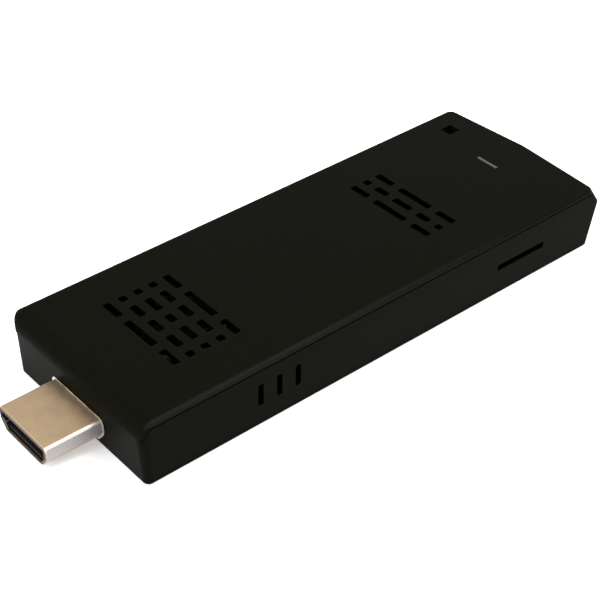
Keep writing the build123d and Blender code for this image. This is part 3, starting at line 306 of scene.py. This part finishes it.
def soft_foam(name, color, cell=0.35 * mm):
    """Closed-cell foam or a soft gap pad: small round cells."""
    material, tree, shader, place = start_material(name)
    cells = tree.nodes.new("ShaderNodeTexVoronoi")
    cells.inputs["Scale"].default_value = 1.0
    tree.links.new(at_pitch(tree, place, cell), cells.inputs["Vector"])
    holes = cells.outputs["Distance"]
    paint = two_colors(tree, holes, shade(color, 0.6), shade(color, 1.3), 0.0, 0.8)
    tree.links.new(paint, shader.inputs["Base Color"])
    tree.links.new(between(tree, holes, 0.75, 0.95, 0.0, 0.8), shader.inputs["Roughness"])
    shader.inputs["Specular IOR Level"].default_value = 0.2
    add_bump(tree, shader, holes, 0.08 * mm)
    return material


def frosted(name, color):
    """Frosted clear plastic that lets the light a little way in."""
    material, tree, shader, place = start_material(name)
    fine = noise(tree, place, frost_grain)
    paint = two_colors(tree, fine, shade(color, 0.85), shade(color, 1.1))
    tree.links.new(paint, shader.inputs["Base Color"])
    tree.links.new(between(tree, fine, 0.3, 0.45), shader.inputs["Roughness"])
    shader.inputs["Subsurface Weight"].default_value = 0.25
    shader.inputs["Subsurface Radius"].default_value = (frost_depth, frost_depth, frost_depth)
    shader.inputs["Specular IOR Level"].default_value = 0.4
    add_bump(tree, shader, fine, 0.004 * mm)
    return material


def winding(name, color, pitch=0.12 * mm):
    """Enamelled wire wound side by side."""
    material, tree, shader, place = start_material(name)
    turns = tree.nodes.new("ShaderNodeTexWave")
    turns.bands_direction = "DIAGONAL"
    turns.inputs["Scale"].default_value = band_scale
    turns.inputs["Distortion"].default_value = 0.6
    tree.links.new(at_pitch(tree, place, pitch), turns.inputs["Vector"])
    lines = turns.outputs["Fac"]
    paint = two_colors(tree, lines, shade(color, 0.45), color, 0.0, 1.0)
    tree.links.new(paint, shader.inputs["Base Color"])
    shader.inputs["Metallic"].default_value = 0.8
    tree.links.new(between(tree, lines, 0.5, 0.25, 0.0, 1.0), shader.inputs["Roughness"])
    add_bump(tree, shader, lines, 0.03 * mm)
    return material


def woven(name, color, pitch=0.3 * mm):
    """Fine woven cloth: crossed threads with dark holes between them."""
    material, tree, shader, place = start_material(name)
    scaled = at_pitch(tree, place, pitch)
    threads = []
    for axis in ("X", "Y"):
        wave = tree.nodes.new("ShaderNodeTexWave")
        wave.bands_direction = axis
        wave.inputs["Scale"].default_value = thread_scale
        tree.links.new(scaled, wave.inputs["Vector"])
        threads.append(wave.outputs["Fac"])
    weave = combine(tree, "MAXIMUM", *threads)
    paint = two_colors(tree, weave, shade(color, 0.15), color, 0.4, 0.9)
    tree.links.new(paint, shader.inputs["Base Color"])
    tree.links.new(between(tree, weave, 0.95, 0.7, 0.4, 0.9), shader.inputs["Roughness"])
    shader.inputs["Specular IOR Level"].default_value = 0.1
    add_bump(tree, shader, weave, 0.05 * mm)
    return material


def case_plastic(name):
    """The case's black plastic: a fine matt grain, a painted highlight along its upper side edges and
    painted shade in its hollows.
    """
    material = moulded(
        name, case_color, roughness=0.38, grain=0.2 * mm, depth=0.008 * mm, specular=0.012
    )
    tree, shader = shader_of(material)
    x, y, z = parts_of(tree)
    width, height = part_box("top_cover")[1][1:]
    # Painted highlight: a lighter band along the upper side edges, fading along X
    upper = between(tree, z, 0, 1, height - sheen_height, height - sheen_full)
    outer = between(
        tree, combine(tree, "ABSOLUTE", y), 0, 1, width - sheen_width, width - sheen_full
    )
    sheen_rim = combine(tree, "MULTIPLY", upper, outer)
    along = between(tree, x, sheen_share_start, sheen_share_end, sheen_start, sheen_end)
    mix_color(tree, shader, combine(tree, "MULTIPLY", sheen_rim, along), painted_case_sheen)
    # Painted shade: darker colour in the case's slots, seams and hollows
    paint_crevice_shade(tree, shader, case_shade_reach, case_painted_shade)
    return material


def plug_metal(name):
    """The plug's warm plated shell, with a painted highlight on its upper bends, a painted reflection
    on its sides and a dark tip band.
    """
    material = sheet_metal(
        name, plug_color, roughness=0.52, scratch=0.04 * mm, depth=0.001 * mm, wear=0.08
    )
    tree, shader = shader_of(material)
    facing = parts_of(tree, "Normal")
    turned = combine(tree, "ABSOLUTE", facing["Y"])
    # Painted highlight: a pale colour on the upper bends, where the top turns down into the sides
    upper = between(tree, facing["Z"], 0, 1, 0.0, 0.2)
    bend_highlight = combine(tree, "MULTIPLY", upper, between(tree, turned, 0, 1, 0.2, 0.5))
    mix_color(tree, shader, bend_highlight, painted_bend_highlight)
    # Painted reflection: a greyer colour on the sides, which face along Y
    mix_color(tree, shader, between(tree, turned, 0, 1, 0.75, 0.97), painted_side_reflection)
    # Painted shade: darker colour inside the plug and in its hollows
    paint_crevice_shade(tree, shader, plug_shade_reach, plug_painted_shade, closed=0.4, clear=0.65)
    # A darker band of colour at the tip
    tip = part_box("plug_shell")[0][0]
    tip_band = between(tree, parts_of(tree)["X"], 1, 0, tip + tip_band_width / 2, tip + tip_band_width)
    mix_color(tree, shader, tip_band, tip_band_color)
    return material


# Each slot's material: what makes it, its colour and the numbers that differ from the usual
recipes = {
    "case_plastic": case_plastic,
    "button_plastic": partial(
        moulded, color=(0.005, 0.005, 0.0045), roughness=0.35,
        grain=0.15 * mm, depth=0.005 * mm, specular=0.06
    ),
    "light_plastic": partial(frosted, color=(0.055, 0.057, 0.048)),
    "plug_metal": plug_metal,
    "collar_metal": partial(sheet_metal, color=(0.68, 0.64, 0.58), roughness=0.5, along=(1, 12, 1)),
    "plug_plastic": partial(moulded, color=(0.004, 0.004, 0.004), roughness=0.5),
    "gold_contact": partial(cast_metal, color=(0.86, 0.62, 0.24), roughness=0.22),
    "shell_metal": partial(sheet_metal, color=(0.66, 0.66, 0.65), roughness=0.3),
    "port_plastic": partial(moulded, color=(0.02, 0.02, 0.022), roughness=0.5),
    "spring_metal": partial(cast_metal, color=(0.6, 0.6, 0.6), roughness=0.25),
    "board_green": partial(circuit_board, color=(0.006, 0.05, 0.022), trace=(0.02, 0.12, 0.05)),
    "silicon": partial(
        moulded, color=(0.03, 0.033, 0.038), roughness=0.2,
        grain=0.4 * mm, depth=0.002 * mm, specular=0.6
    ),
    "thermal_pad": partial(soft_foam, color=(0.3, 0.36, 0.45), cell=0.6 * mm),
    "spreader_metal": partial(
        sheet_metal, color=(0.74, 0.74, 0.74), roughness=0.34, along=(1, 12, 1), scratch=0.08 * mm
    ),
    "screw_metal": partial(cast_metal, color=(0.5, 0.5, 0.5), roughness=0.3),
    "chip_plastic": partial(moulded, color=(0.012, 0.012, 0.013), roughness=0.55, grain=0.1 * mm),
    "ferrite": partial(
        moulded, color=(0.05, 0.05, 0.05), roughness=0.5, grain=0.1 * mm, depth=0.01 * mm
    ),
    "capacitor": partial(moulded, color=(0.42, 0.27, 0.14), roughness=0.35, grain=0.2 * mm),
    "antenna_metal": partial(sheet_metal, color=(0.72, 0.5, 0.28), roughness=0.3, along=(1, 12, 1)),
    "lead_jacket": partial(moulded, color=(0.01, 0.01, 0.011), roughness=0.3, grain=0.15 * mm),
    "fan_plastic": partial(
        moulded, color=(0.004, 0.004, 0.0045), roughness=0.4,
        grain=0.2 * mm, depth=0.005 * mm, specular=0.06
    ),
    "shaft_metal": partial(
        cast_metal, color=(0.7, 0.7, 0.7), roughness=0.15, grain=0.05 * mm, depth=0.001 * mm
    ),
    "bearing_metal": partial(cast_metal, color=(0.6, 0.38, 0.18), roughness=0.4),
    "stator_metal": partial(
        sheet_metal, color=(0.4, 0.4, 0.42), roughness=0.35, along=(12, 12, 1), scratch=0.1 * mm
    ),
    "coil_metal": partial(winding, color=(0.72, 0.3, 0.12)),
    "foam": partial(soft_foam, color=(0.006, 0.006, 0.006)),
    "mesh_cloth": partial(woven, color=(0.004, 0.004, 0.004)),
    "coated_sheet": partial(
        moulded, color=(0.0025, 0.0025, 0.0025), roughness=0.55,
        grain=0.12 * mm, depth=0.004 * mm, specular=0.04
    ),
}
materials = {name: make(name) for name, make in recipes.items()}


def paint_nodes():
    """Gives every CAD node its slot's material."""
    slots = {row["node"]: row["material_slot"] for row in frame["record"]["subparts"]}
    for name, node in nodes.items():
        node.data.materials.clear()
        node.data.materials.append(materials[slots[name]])


def add_object(name, data):
    """A new object in the scene."""
    item = bpy.data.objects.new(name, data)
    bpy.context.scene.collection.objects.link(item)
    return item


def giving_spring():
    """A copy of the card pusher's spring on the case body, shown in place of its CAD node."""
    node = nodes["card_spring"]
    coil = add_object("card_spring_coil", node.data.copy())
    coil.matrix_world = node.matrix_world
    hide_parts("card_spring")
    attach(coil, "case")
    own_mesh(coil)


def seen_rays(tree):
    """1 for rays from the camera, a mirror or glass, and 0 for those that only light things."""
    rays = tree.nodes.new("ShaderNodeLightPath").outputs
    mirrored = combine(tree, "MAXIMUM", rays["Is Glossy Ray"], rays["Is Transmission Ray"])
    return combine(tree, "MAXIMUM", rays["Is Camera Ray"], mirrored)


def floor():
    """A plain pale floor that keeps the object's shadow."""
    bpy.ops.mesh.primitive_plane_add(size=floor_size)
    plane = bpy.context.object
    plane.name = "floor"
    material, tree, shader, _ = start_material("floor")
    shader.inputs["Base Color"].default_value = (*floor_color, 1)
    shader.inputs["Roughness"].default_value = 0.9
    shader.inputs["Specular IOR Level"].default_value = 0.0
    shader.inputs["Emission Color"].default_value = (1, 1, 1, 1)
    lift = between(tree, seen_rays(tree), 0, floor_lift, 0, 1)
    tree.links.new(lift, shader.inputs["Emission Strength"])
    plane.data.materials.append(material)


def lamp(name, place, size, power, color):
    """A square soft lamp that faces the object."""
    data = bpy.data.lights.new(name, "AREA")
    data.size = size
    data.energy = power
    data.color = color
    item = add_object(name, data)
    item.location = place
    item.rotation_euler = (lamp_aim - place).to_track_quat("-Z", "Y").to_euler()


def sky():
    """An even pale sky that lights the shadows, behind a white backdrop."""
    world = bpy.data.worlds.new("sky")
    world.use_nodes = True
    tree = world.node_tree
    background = tree.nodes["Background"]
    background.inputs["Color"].default_value = (*sky_color, 1)
    background.inputs["Strength"].default_value = sky_strength
    backdrop = tree.nodes.new("ShaderNodeBackground")
    backdrop.inputs["Color"].default_value = (1, 1, 1, 1)
    backdrop.inputs["Strength"].default_value = 1.0
    mix = tree.nodes.new("ShaderNodeMixShader")
    tree.links.new(seen_rays(tree), mix.inputs["Fac"])
    tree.links.new(background.outputs["Background"], mix.inputs[1])
    tree.links.new(backdrop.outputs["Background"], mix.inputs[2])
    tree.links.new(mix.outputs["Shader"], tree.nodes["World Output"].inputs["Surface"])
    bpy.context.scene.world = world


def camera():
    """The photograph's camera."""
    data = bpy.data.cameras.new("camera")
    data.lens = camera_lens
    data.sensor_width = camera_sensor
    data.clip_start = camera_near
    item = add_object("camera", data)
    item.location = camera_eye
    turn = (camera_aim - camera_eye).to_track_quat("-Z", "Y") @ Quaternion((0, 0, 1), camera_roll)
    item.rotation_euler = turn.to_euler()
    bpy.context.scene.camera = item


paint_nodes()
giving_spring()
floor()
lamp("key_lamp", key_place, key_size, key_power, key_color)
lamp("fill_lamp", fill_place, fill_size, fill_power, fill_color)
sky()
camera()
bpy.context.scene.view_settings.view_transform = "Standard"
